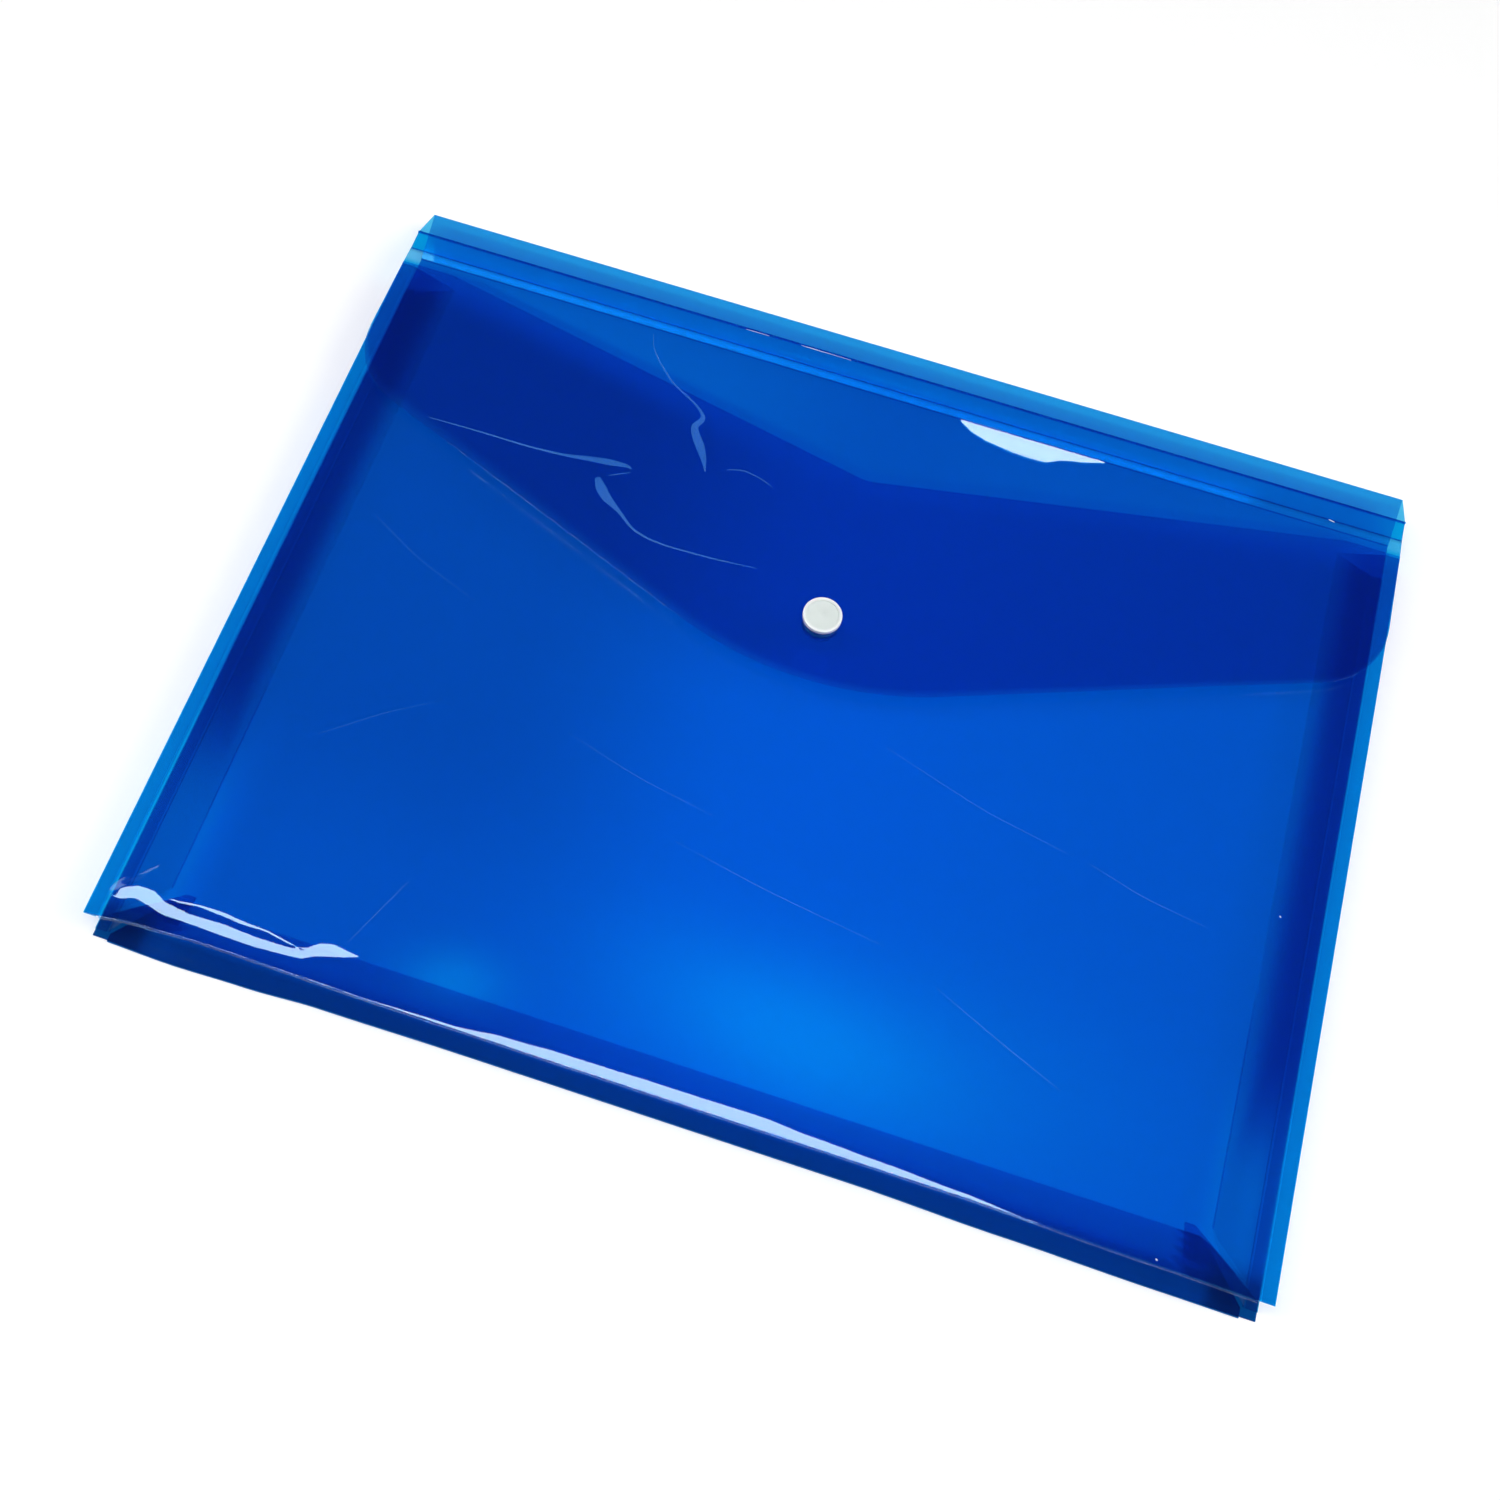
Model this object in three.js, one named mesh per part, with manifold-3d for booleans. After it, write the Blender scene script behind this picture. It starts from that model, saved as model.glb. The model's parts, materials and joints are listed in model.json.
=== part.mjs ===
// Expanding document wallet of clear blue polypropylene, closed by a white plastic press stud.
// One folded sheet makes the back panel, the bottom bellows, the front panel, the spine bellows and the flap.
// A pleated gusset is welded into each side. Every crease parts the sheet into rigid leaves.
// Millimetres. The wallet lies on its back: X across it, Y from its bottom fold to its spine, Z up.
import * as THREE from "three";
import { mergeVertices } from "three/addons/utils/BufferGeometryUtils.js";
import Module from "manifold-3d";

const wasm = await Module();
wasm.setup();

// Sheet and folds
const SHEET = 0.4; // thickness of the film
const FOLD_GAP = 0.3; // air between two layers pressed flat on each other
const CREASE_START = 0.3; // a leaf starts this far from its crease
const LEAF = 14.8; // width of every bellows leaf, crease to crease
const REST_THICKNESS = 15.1; // outside of the back panel to outside of the front panel, empty and lying down

// Panels
const PANEL_WIDTH = 335;
const PANEL_HEIGHT = 238; // bottom fold to the front panel's top corners
const MOUTH = 13.5; // how far the back panel runs on above the front panel, to the spine crease
const NOTCH_SIDE_MARGIN = 17.5; // the front panel's top edge runs level this far, then dips to the middle
const NOTCH_DEPTH = 30.2;
const NOTCH_RADIUS = 14;

// Side gussets
const WELD_WIDTH = 4; // margin in which a gusset is welded to a panel
const WELD_RELIEF = 0.6; // from the gusset's crease to the weld flange
const GUSSET_TOP_INSET = 0.4; // the gusset stops short of the panel's top corner
const MITRE_GAP = 0.3; // each leaf's end to the 45 degree line of the corner
const TAB_START = 21; // a corner tab starts this far in from the gusset's crease
const TAB_OVERHANG = 2.5; // how far it shows past the bottom bellows' middle fold
const TAB_DEPTH = 9; // from that fold down the front leaf
const TAB_MITRE_GAP = 0.8; // the tab lies one layer up, so it keeps further from the mitre

// Flap
const CROWN = 7.4; // band between the spine's front crease and the crease the flap turns on
const FLAP_LENGTH = 111.7; // that crease to the tip
const FLAP_INSET = 0.3; // the flap's side edges lie inside the panel's
const FLAP_SIDE = 53.8; // crease to the point where side edge and slope would meet
const FLAP_CORNER_RADIUS = 28;
const FLAP_TIP_RADIUS = 112;
const SCORES = [3.8, 10.2]; // capacity creases, from the flap's own crease
const SCORE_RISES = [0.55, 1]; // how far each lifts the flap above the crown
const SCORE_DEPTH = 0.1;
const SCORE_HALF_WIDTH = 0.4;
const FLAP_LEVEL_FROM = 73; // from here to the tip the flap lies level, held off by the stud

// Press stud
const STUD_FROM_TIP = 21.6;
const STUD_FIT = 0.15; // play between its four pieces and the sheets
const CAP_RADIUS = 6;
const CAP_HEIGHT = 1.5;
const CAP_RIM = 1.1; // width of the raised rim round the cap's face
const CAP_DISH = 0.2; // how far the face lies below the rim
const POST_RADIUS = 0.9;
const STUD_RADIUS = 5.2;
const STUD_FLANGE = 0.8;
const KNOB_RADIUS = 2.1;
const KNOB_NECK = 1.75;
const KNOB_HEIGHT = 1.55; // above the stud's flange
const SOCKET_RADIUS = 5.6;
const SOCKET_COLLAR = 3.7;
const SOCKET_ROOF = 0.6;
const SOCKET_BRIM = 0.7;
const SOCKET_PLAY = 0.2; // round and above the knob
const BACK_CAP_RADIUS = 5.8;
const BACK_CAP_HEIGHT = 0.9;
const EDGE = 0.25; // rounding of the moulded edges
const ROUND_SEGMENTS = 40;

// Worked out from the sizes above
const PLY = SHEET + FOLD_GAP;
const HALF_WIDTH = PANEL_WIDTH / 2;
const NOTCH_HALF_WIDTH = HALF_WIDTH - NOTCH_SIDE_MARGIN;
const WELD_CREASE = HALF_WIDTH - WELD_WIDTH;
const BASE_CREASE_Z = SHEET + FOLD_GAP / 2;
const REST_RISE = REST_THICKNESS - 2 * BASE_CREASE_Z;
// Two leaves at an angle a raise the panel by 2 LEAF sin a + 2 PLY cos a.
const restAngle = Math.asin(REST_RISE / 2 / Math.hypot(LEAF, PLY)) - Math.atan2(PLY, LEAF);
const SPINE_Y = PANEL_HEIGHT / 2 + MOUTH;
const FLAP_CREASE_Y = SPINE_Y - CROWN;
const STUD_Y = FLAP_CREASE_Y - FLAP_LENGTH + STUD_FROM_TIP;
const KNOB_TOP = STUD_FIT + STUD_FLANGE + KNOB_HEIGHT;
const SOCKET_HEIGHT = KNOB_HEIGHT - STUD_FIT + SOCKET_PLAY + SOCKET_ROOF;
const STUD_STACK = KNOB_TOP + SOCKET_PLAY + SOCKET_ROOF + STUD_FIT; // front panel to flap at the stud
const FLAP_LIFT = STUD_STACK + SHEET;
const POST_HOLE = POST_RADIUS + STUD_FIT;

const film = new THREE.MeshStandardMaterial({
  color: 0x0a5ad0, roughness: 0.2, metalness: 0, transparent: true, opacity: 0.7, side: THREE.DoubleSide,
});
const gussetFilm = film.clone();
gussetFilm.color.set(0x0849b4);
const whitePlastic = new THREE.MeshStandardMaterial({ color: 0xe9efec, roughness: 0.35, metalness: 0 });
const clearPlastic = new THREE.MeshStandardMaterial({ color: 0xdfe8ea, roughness: 0.4, metalness: 0 });

// Booleans
function solidOf(geometry) {
  const bare = geometry.clone();
  bare.deleteAttribute("normal");
  bare.deleteAttribute("uv");
  const merged = mergeVertices(bare, 1e-4);
  return new wasm.Manifold(new wasm.Mesh({
    numProp: 3,
    vertProperties: new Float32Array(merged.attributes.position.array),
    triVerts: new Uint32Array(merged.index.array),
  }));
}

function geometryOf(solid) {
  const { vertProperties, triVerts } = solid.getMesh();
  const geometry = new THREE.BufferGeometry();
  geometry.setAttribute("position", new THREE.BufferAttribute(vertProperties, 3));
  geometry.setIndex(new THREE.BufferAttribute(triVerts, 1));
  geometry.computeVertexNormals();
  return geometry;
}

function addMesh(parent, name, geometry, material) {
  const mesh = new THREE.Mesh(geometry, material);
  mesh.name = name;
  parent.add(mesh);
  return mesh;
}

// A flat piece of film with its underside at height z
function addSheet(parent, name, shape, z, material = film) {
  const geometry = new THREE.ExtrudeGeometry(shape, { depth: SHEET, bevelEnabled: false });
  const mesh = addMesh(parent, name, geometry, material);
  mesh.position.z = z;
  return mesh;
}

// A group whose X axis is a crease, turned about it by an angle
function addCrease(parent, name, y, z, angle) {
  const group = new THREE.Group();
  group.name = name;
  group.position.set(0, y, z);
  group.rotation.x = angle;
  parent.add(group);
  return group;
}

function polygon(points) {
  return new THREE.Shape(points.map(([x, y]) => new THREE.Vector2(x, y)));
}

function rectangle(lowX, highX, lowY, highY) {
  return polygon([[lowX, lowY], [highX, lowY], [highX, highY], [lowX, highY]]);
}

// Slope of the straight sides of a V whose point is rounded by radius, from its lowest point up to (halfWidth, rise)
function slopeOfRoundedVee(halfWidth, rise, radius) {
  const reach = Math.hypot(halfWidth, rise - radius);
  return Math.atan2(rise - radius, halfWidth) + Math.asin(radius / reach);
}

// A leaf's outline: Y is the distance from its crease on the panel, and an end may be mitred at 45 degrees
function leafShape(low, high, mitredLow, mitredHigh) {
  const end = (x, side, mitred, y) => (mitred ? x - side * (y + MITRE_GAP) : x);
  return polygon([
    [end(low, -1, mitredLow, CREASE_START), CREASE_START],
    [end(high, 1, mitredHigh, CREASE_START), CREASE_START],
    [end(high, 1, mitredHigh, LEAF), LEAF],
    [end(low, -1, mitredLow, LEAF), LEAF],
  ]);
}

// Two leaves, hinged on the panel below, on each other and on what they raise. Returns the three creases' groups.
function addBellows(base, title, rearName, frontName, shape, material) {
  const lower = addCrease(base, title + "_lower_crease", 0, 0, restAngle);
  addSheet(lower, rearName, shape, FOLD_GAP / 2, material);
  const middle = addCrease(lower, title + "_middle_crease", LEAF, PLY, -2 * restAngle);
  addSheet(middle, frontName, shape, FOLD_GAP / 2, material).position.y = -LEAF;
  const upper = addCrease(middle, title + "_upper_crease", -LEAF, PLY, restAngle);
  return { lower, middle, upper };
}

// A frame on the back panel for one bellows: Y runs from the crease into the fold
function addBase(root, x, y, turn) {
  const base = new THREE.Group();
  base.position.set(x, y, BASE_CREASE_Z);
  base.rotation.z = turn;
  root.add(base);
  return base;
}

function backPanel() {
  return rectangle(-HALF_WIDTH, HALF_WIDTH, -PANEL_HEIGHT / 2, SPINE_Y);
}

// The front panel from its bottom fold at y = 0 to the dipped top edge, with the hole for the stud
function frontPanel() {
  const slope = slopeOfRoundedVee(NOTCH_HALF_WIDTH, NOTCH_DEPTH, NOTCH_RADIUS);
  const centreY = PANEL_HEIGHT - NOTCH_DEPTH + NOTCH_RADIUS;
  const shape = new THREE.Shape();
  shape.moveTo(-HALF_WIDTH, 0);
  shape.lineTo(HALF_WIDTH, 0);
  shape.lineTo(HALF_WIDTH, PANEL_HEIGHT);
  shape.lineTo(NOTCH_HALF_WIDTH, PANEL_HEIGHT);
  shape.absarc(0, centreY, NOTCH_RADIUS, slope - Math.PI / 2, -slope - Math.PI / 2, true);
  shape.lineTo(-NOTCH_HALF_WIDTH, PANEL_HEIGHT);
  shape.lineTo(-HALF_WIDTH, PANEL_HEIGHT);
  shape.holes.push(new THREE.Path().absarc(0, STUD_Y + PANEL_HEIGHT / 2, POST_HOLE, 0, 2 * Math.PI, true));
  return shape;
}

// The flap seen from above, from its crease at y = 0 down to the rounded tip
function flapOutline() {
  const half = HALF_WIDTH - FLAP_INSET;
  const slope = slopeOfRoundedVee(half, FLAP_LENGTH - FLAP_SIDE, FLAP_TIP_RADIUS);
  const tangent = FLAP_CORNER_RADIUS * Math.tan((Math.PI / 2 - slope) / 2);
  const cornerX = half - FLAP_CORNER_RADIUS;
  const cornerY = -FLAP_SIDE + tangent;
  const shape = new THREE.Shape();
  shape.moveTo(half, -CREASE_START / 2);
  shape.lineTo(-half, -CREASE_START / 2);
  shape.lineTo(-half, cornerY);
  shape.absarc(-cornerX, cornerY, FLAP_CORNER_RADIUS, Math.PI, 1.5 * Math.PI - slope, false);
  shape.absarc(0, FLAP_TIP_RADIUS - FLAP_LENGTH, FLAP_TIP_RADIUS, 1.5 * Math.PI - slope, 1.5 * Math.PI + slope, false);
  shape.absarc(cornerX, cornerY, FLAP_CORNER_RADIUS, slope - Math.PI / 2, 0, false);
  shape.lineTo(half, -CREASE_START / 2);
  shape.holes.push(new THREE.Path().absarc(0, STUD_FROM_TIP - FLAP_LENGTH, POST_HOLE, 0, 2 * Math.PI, true));
  return shape;
}

// The flap seen from its side: it bends up at each score, over the front panel's edge, to lie level on the stud
function flapProfile() {
  const root = -(SHEET + FOLD_GAP / 2);
  const bends = [[0, root]];
  SCORES.forEach((from, i) => bends.push([-from, root + SCORE_RISES[i]]));
  bends.push([-FLAP_LEVEL_FROM, root + FLAP_LIFT], [-FLAP_LENGTH - 1, root + FLAP_LIFT]);
  const top = [];
  bends.forEach(([y, z], i) => {
    const scored = i > 0 && i <= SCORES.length;
    if (!scored) {
      top.push([y, z + SHEET]);
      return;
    }
    const fall = (side) => {
      const [otherY, otherZ] = bends[i + side];
      return z + SHEET + SCORE_HALF_WIDTH * (otherZ - z) / Math.abs(otherY - y);
    };
    top.push([y + SCORE_HALF_WIDTH, fall(-1)], [y, z + SHEET - SCORE_DEPTH], [y - SCORE_HALF_WIDTH, fall(1)]);
  });
  return polygon([...bends, ...top.reverse()]);
}

function flapGeometry() {
  const tall = STUD_STACK + CAP_HEIGHT;
  const prism = new THREE.ExtrudeGeometry(flapOutline(), { depth: 2 * tall, bevelEnabled: false, curveSegments: 24 });
  prism.translate(0, 0, -tall);
  const bent = new THREE.ExtrudeGeometry(flapProfile(), { depth: PANEL_WIDTH, bevelEnabled: false });
  bent.translate(0, 0, -HALF_WIDTH);
  const sideways = new THREE.Matrix4().makeBasis(
    new THREE.Vector3(0, 1, 0), new THREE.Vector3(0, 0, 1), new THREE.Vector3(1, 0, 0));
  bent.applyMatrix4(sideways);
  return geometryOf(solidOf(prism).intersect(solidOf(bent)));
}

// A turned piece from (radius, height) points, listed counter-clockwise
function turned(points) {
  const profile = points.map(([r, z]) => new THREE.Vector2(r, z));
  const geometry = new THREE.LatheGeometry(profile, ROUND_SEGMENTS);
  return geometry.rotateX(Math.PI / 2);
}

// The white cap on the flap: a dished face in a raised rim, and the post that goes through the flap
function studCap() {
  const bottom = STUD_STACK + SHEET + STUD_FIT;
  const top = bottom + CAP_HEIGHT;
  const face = CAP_RADIUS - CAP_RIM;
  const postEnd = KNOB_TOP + SOCKET_PLAY / 2;
  return turned([
    [0, postEnd], [POST_RADIUS - EDGE, postEnd], [POST_RADIUS, postEnd + EDGE], [POST_RADIUS, bottom],
    [CAP_RADIUS - EDGE, bottom], [CAP_RADIUS, bottom + EDGE], [CAP_RADIUS, top - 2 * EDGE],
    [CAP_RADIUS - EDGE, top - EDGE / 2], [CAP_RADIUS - 2 * EDGE, top], [face + EDGE, top],
    [face, top - CAP_DISH], [0, top - CAP_DISH],
  ]);
}

// The socket under the flap: a brim against the film, a collar round the knob, and a roof that the post goes through
function studSocket() {
  const top = STUD_STACK - STUD_FIT;
  const foot = top - SOCKET_HEIGHT;
  const inner = KNOB_RADIUS + SOCKET_PLAY;
  return turned([
    [POST_HOLE, top - SOCKET_ROOF], [inner, top - SOCKET_ROOF], [inner, foot], [SOCKET_COLLAR - EDGE, foot],
    [SOCKET_COLLAR, foot + EDGE], [SOCKET_COLLAR, top - SOCKET_BRIM], [SOCKET_RADIUS - EDGE, top - SOCKET_BRIM],
    [SOCKET_RADIUS, top - SOCKET_BRIM + EDGE], [SOCKET_RADIUS, top], [POST_HOLE, top],
    [POST_HOLE, top - SOCKET_ROOF],
  ]);
}

// The stud on the front panel: a flange and a hollow knob with a slight bulb
function studKnob() {
  const seat = STUD_FIT + STUD_FLANGE;
  return turned([
    [POST_HOLE, STUD_FIT], [STUD_RADIUS, STUD_FIT], [STUD_RADIUS, seat - EDGE], [STUD_RADIUS - EDGE, seat],
    [KNOB_NECK, seat], [KNOB_NECK, KNOB_TOP - 4 * EDGE], [KNOB_RADIUS, KNOB_TOP - 2 * EDGE],
    [KNOB_RADIUS - EDGE, KNOB_TOP - EDGE / 2], [KNOB_NECK - EDGE, KNOB_TOP], [POST_HOLE, KNOB_TOP],
    [POST_HOLE, STUD_FIT],
  ]);
}

// The plain cap inside the pocket, whose post goes through the front panel into the knob
function studBackCap() {
  const top = -SHEET - STUD_FIT;
  const bottom = top - BACK_CAP_HEIGHT;
  const postEnd = KNOB_TOP - EDGE;
  return turned([
    [0, bottom], [BACK_CAP_RADIUS - 2 * EDGE, bottom], [BACK_CAP_RADIUS, bottom + 2 * EDGE],
    [BACK_CAP_RADIUS, top - EDGE], [BACK_CAP_RADIUS - EDGE, top], [POST_RADIUS, top],
    [POST_RADIUS, postEnd - EDGE], [POST_RADIUS - EDGE, postEnd], [0, postEnd],
  ]);
}

// A corner tab: the end of a side gusset folded in and welded on the bottom bellows' front leaf
function cornerTab(side) {
  const innerX = WELD_CREASE - TAB_START;
  const reach = TAB_DEPTH + TAB_OVERHANG;
  const mitre = (y) => WELD_CREASE - TAB_MITRE_GAP - (LEAF - TAB_DEPTH) - y;
  const points = [[innerX, 0], [mitre(0), 0], [mitre(reach), reach], [innerX, reach]];
  return polygon(points.map(([x, y]) => [side * x, y - TAB_DEPTH]));
}

const wallet = new THREE.Group();
addSheet(wallet, "back_panel", backPanel(), 0);

// Bottom bellows, and the front panel that it carries
const bottomBase = addBase(wallet, 0, -PANEL_HEIGHT / 2, 0);
const bottom = addBellows(bottomBase, "bottom", "bottom_gusset_rear_leaf", "bottom_gusset_front_leaf",
  leafShape(-WELD_CREASE, WELD_CREASE, true, true), film);
for (const [name, side] of [["left", -1], ["right", 1]])
  addSheet(bottom.middle, name + "_corner_tab", cornerTab(side), PLY + FOLD_GAP / 2, gussetFilm);
addSheet(bottom.upper, "front_panel", frontPanel(), FOLD_GAP / 2);

// Side gussets, each with a weld flange on the back panel and one on the front panel
for (const [name, side] of [["left", -1], ["right", 1]]) {
  const base = addBase(wallet, side * WELD_CREASE, 0, side * Math.PI / 2);
  const low = -PANEL_HEIGHT / 2 + (side < 0 ? GUSSET_TOP_INSET : 0);
  const high = PANEL_HEIGHT / 2 - (side > 0 ? GUSSET_TOP_INSET : 0);
  addBellows(base, name, name + "_gusset_rear_leaf", name + "_gusset_front_leaf",
    leafShape(low, high, side > 0, side < 0), gussetFilm);
  const outer = side * HALF_WIDTH;
  const inner = side * (WELD_CREASE + WELD_RELIEF);
  const flange = (y) => rectangle(Math.min(inner, outer), Math.max(inner, outer),
    y + CREASE_START, y + PANEL_HEIGHT - GUSSET_TOP_INSET);
  addSheet(wallet, name + "_rear_weld_flange", flange(-PANEL_HEIGHT / 2), PLY, gussetFilm);
  addSheet(bottom.upper, name + "_front_weld_flange", flange(0), -FOLD_GAP / 2 - SHEET, gussetFilm);
}

// Spine bellows, the crown strip on it, and the flap
const spineBase = addBase(wallet, 0, SPINE_Y, 0);
const spine = addBellows(spineBase, "spine", "spine_rear_strip", "spine_front_strip",
  rectangle(-HALF_WIDTH, HALF_WIDTH, CREASE_START, LEAF), film);
addSheet(spine.upper, "flap_crown_strip", rectangle(-HALF_WIDTH + FLAP_INSET, HALF_WIDTH - FLAP_INSET,
  CREASE_START / 2 - CROWN, -CREASE_START), FOLD_GAP / 2);
const flap = addCrease(spine.upper, "flap_crease", -CROWN, PLY, 0);
addMesh(flap, "flap", flapGeometry(), film);

// Press stud: two pieces on the front panel and two on the flap, all heights from the front panel's outer face
const studOnPanel = new THREE.Group();
studOnPanel.position.set(0, STUD_Y + PANEL_HEIGHT / 2, SHEET + FOLD_GAP / 2);
bottom.upper.add(studOnPanel);
addMesh(studOnPanel, "stud_knob", studKnob(), clearPlastic);
addMesh(studOnPanel, "stud_back_cap", studBackCap(), whitePlastic);
const studOnFlap = new THREE.Group();
studOnFlap.position.set(0, STUD_FROM_TIP - FLAP_LENGTH, -FOLD_GAP / 2);
flap.add(studOnFlap);
addMesh(studOnFlap, "stud_socket", studSocket(), clearPlastic);
addMesh(studOnFlap, "stud_cap", studCap(), whitePlastic);

// The origin lies on the table, under the middle of the whole wallet
wallet.updateMatrixWorld(true);
wallet.position.y = -new THREE.Box3().setFromObject(wallet).getCenter(new THREE.Vector3()).y;

export default wallet;
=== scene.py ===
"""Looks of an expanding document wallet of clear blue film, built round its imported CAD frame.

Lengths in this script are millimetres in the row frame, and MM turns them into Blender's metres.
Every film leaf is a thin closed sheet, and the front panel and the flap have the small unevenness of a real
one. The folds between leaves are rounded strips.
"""
import json
import math

import bpy
import numpy as np
from mathutils import Matrix, Vector


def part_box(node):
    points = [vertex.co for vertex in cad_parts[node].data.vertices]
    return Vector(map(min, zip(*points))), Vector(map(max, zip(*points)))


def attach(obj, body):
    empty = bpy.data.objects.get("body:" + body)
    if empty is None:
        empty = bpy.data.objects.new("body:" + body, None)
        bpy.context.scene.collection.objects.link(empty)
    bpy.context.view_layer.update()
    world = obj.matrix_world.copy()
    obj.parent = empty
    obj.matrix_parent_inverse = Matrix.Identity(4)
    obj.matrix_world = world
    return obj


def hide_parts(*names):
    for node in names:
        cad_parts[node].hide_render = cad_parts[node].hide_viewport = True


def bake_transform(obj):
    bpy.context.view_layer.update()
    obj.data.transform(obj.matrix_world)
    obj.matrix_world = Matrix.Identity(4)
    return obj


MM = 0.001
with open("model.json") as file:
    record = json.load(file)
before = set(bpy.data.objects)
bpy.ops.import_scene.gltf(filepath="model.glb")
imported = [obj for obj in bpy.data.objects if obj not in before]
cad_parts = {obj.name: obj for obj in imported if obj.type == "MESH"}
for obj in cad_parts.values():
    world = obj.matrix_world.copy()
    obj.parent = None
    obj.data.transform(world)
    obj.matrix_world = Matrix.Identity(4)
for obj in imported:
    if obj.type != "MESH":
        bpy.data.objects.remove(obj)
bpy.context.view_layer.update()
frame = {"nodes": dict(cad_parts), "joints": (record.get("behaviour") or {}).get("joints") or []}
JOINTS = {j["name"]: j for j in frame["joints"]}


def node_box(name):
    low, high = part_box(name)
    return np.array(low) / MM, np.array(high) / MM


def crease(joint):
    return np.array(JOINTS[joint]["pos_m"]) / MM


# Sizes read from the frame
BACK_LOW, BACK_HIGH = node_box("back_panel")
FRONT_LOW, FRONT_HIGH = node_box("front_panel")
FLAP_LOW, FLAP_HIGH = node_box("flap")
CROWN_LOW, CROWN_HIGH = node_box("flap_crown_strip")
CAP_LOW, CAP_HIGH = node_box("stud_cap")
SHEET = BACK_HIGH[2] - BACK_LOW[2]
HALF_WIDTH = BACK_HIGH[0]
BOTTOM_LOWER = crease("expand")
BOTTOM_MIDDLE = crease("bottom_fold")
BOTTOM_UPPER = crease("front_panel_rise")
SPINE_LOWER, SPINE_UPPER = crease("spine_turn"), crease("crown_turn")
FLAP_CREASE = crease("flap_open")
SIDE_LOWER, SIDE_MIDDLE = crease("right_gusset_turn"), crease("right_gusset_fold")
HALF_GAP = BOTTOM_LOWER[2] - BACK_HIGH[2]
FOLD_RADIUS = HALF_GAP + SHEET / 2
BASE_Z = BOTTOM_LOWER[2]
TOP_Z = BOTTOM_UPPER[2]
DEPTH = BOTTOM_MIDDLE[1] - BOTTOM_LOWER[1]
PLY = 2 * FOLD_RADIUS
LEAF = math.sqrt(DEPTH ** 2 + (BOTTOM_MIDDLE[2] - BASE_Z) ** 2 - PLY ** 2)
LEAF_TILT = math.atan2(BOTTOM_MIDDLE[2] - BASE_Z, DEPTH) - math.atan2(PLY, LEAF)
WELD_CREASE = SIDE_LOWER[0]
FRONT_MID_Z = (FRONT_LOW[2] + FRONT_HIGH[2]) / 2

# Outlines that the frame's boxes don't hold
NOTCH_SIDE_MARGIN = 17.5
NOTCH_DEPTH = 30.2
NOTCH_RADIUS = 14.0
FLAP_INSET = HALF_WIDTH - FLAP_HIGH[0]
FLAP_LENGTH = FLAP_CREASE[1] - FLAP_LOW[1]
FLAP_SIDE = 53.8
FLAP_CORNER_RADIUS = 28.0
FLAP_TIP_RADIUS = 112.0
FLAP_SCORES = (3.8, 10.2)  # distances from the flap's crease
FLAP_LEVEL_FROM = 73.0
FLAP_START = 0.15
GUSSET_TOP_INSET = 0.4
LEAF_START = 0.3
MITRE_GAP = 0.6  # from a leaf's end to the 45 degree line of the corner
FOLD_END_GAP = 1.2  # by this much more a middle fold stops short of it
STUD_FIT = 0.15  # between the cap and the flap
TAB_START = 21.0  # a corner tab's start from the gusset's crease

# Camera, from the fit to the photograph
CAMERA_PLACE = (14.3, -248.1, 507.2)
CAMERA_TURNS = (0.17399, 0.45378, 0.14554)  # about Z, then X, then Z again, in radians
FOCAL_PIXELS = 1847.2
CENTRE_PIXELS = (702.0, 689.8)
IMAGE_SIDE = 1500
SENSOR = 36.0


# Shapes of the edges, as heights over x

def vee(x, half_width, rise, radius):
    """Height of a V above its lowest point, and its slope. The V's point is rounded by radius, and it
    reaches rise at half_width."""
    reach = math.hypot(half_width, rise - radius)
    slope = math.atan2(rise - radius, half_width) + math.asin(radius / reach)
    bend = radius * math.sin(slope)
    x = np.abs(x)
    arc = radius - np.sqrt(np.maximum(radius ** 2 - np.minimum(x, bend) ** 2, 0))
    return arc + np.maximum(x - bend, 0) * math.tan(slope), slope


def front_top_edge(x):
    half = HALF_WIDTH - NOTCH_SIDE_MARGIN
    rise, _ = vee(np.minimum(np.abs(x), half), half, NOTCH_DEPTH, NOTCH_RADIUS)
    return FRONT_HIGH[1] - NOTCH_DEPTH + rise


def flap_low_edge(x):
    half = HALF_WIDTH - FLAP_INSET
    rise, slope = vee(x, half, FLAP_LENGTH - FLAP_SIDE, FLAP_TIP_RADIUS)
    corner_y = FLAP_CORNER_RADIUS * math.tan((math.pi / 2 - slope) / 2) - FLAP_SIDE
    corner_x = half - FLAP_CORNER_RADIUS
    along = np.clip((np.abs(x) - corner_x) / FLAP_CORNER_RADIUS, 0, 1)
    corner = corner_y - FLAP_CORNER_RADIUS * np.sqrt(1 - along ** 2)
    starts = corner_x + FLAP_CORNER_RADIUS * math.sin(slope)
    fall = rise - FLAP_LENGTH
    return FLAP_CREASE[1] + np.where(np.abs(x) > starts, np.maximum(corner, fall), fall)


# Unevenness of the sheets

def waves(x, y, seed, size, height, count=9):
    """Smooth unevenness: a sum of waves in fixed directions, about size long and height high."""
    random = np.random.RandomState(seed)
    total = np.zeros_like(x, dtype=float)
    for _ in range(count):
        turn = random.uniform(0, math.pi)
        step = 2 * math.pi / (size * random.uniform(0.6, 1.8))
        phase = random.uniform(0, 2 * math.pi)
        total += np.sin(step * (x * math.cos(turn) + y * math.sin(turn)) + phase)
    return height * total / math.sqrt(count)


def ease(t):
    t = np.clip(t, 0, 1)
    return t * t * (3 - 2 * t)


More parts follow.
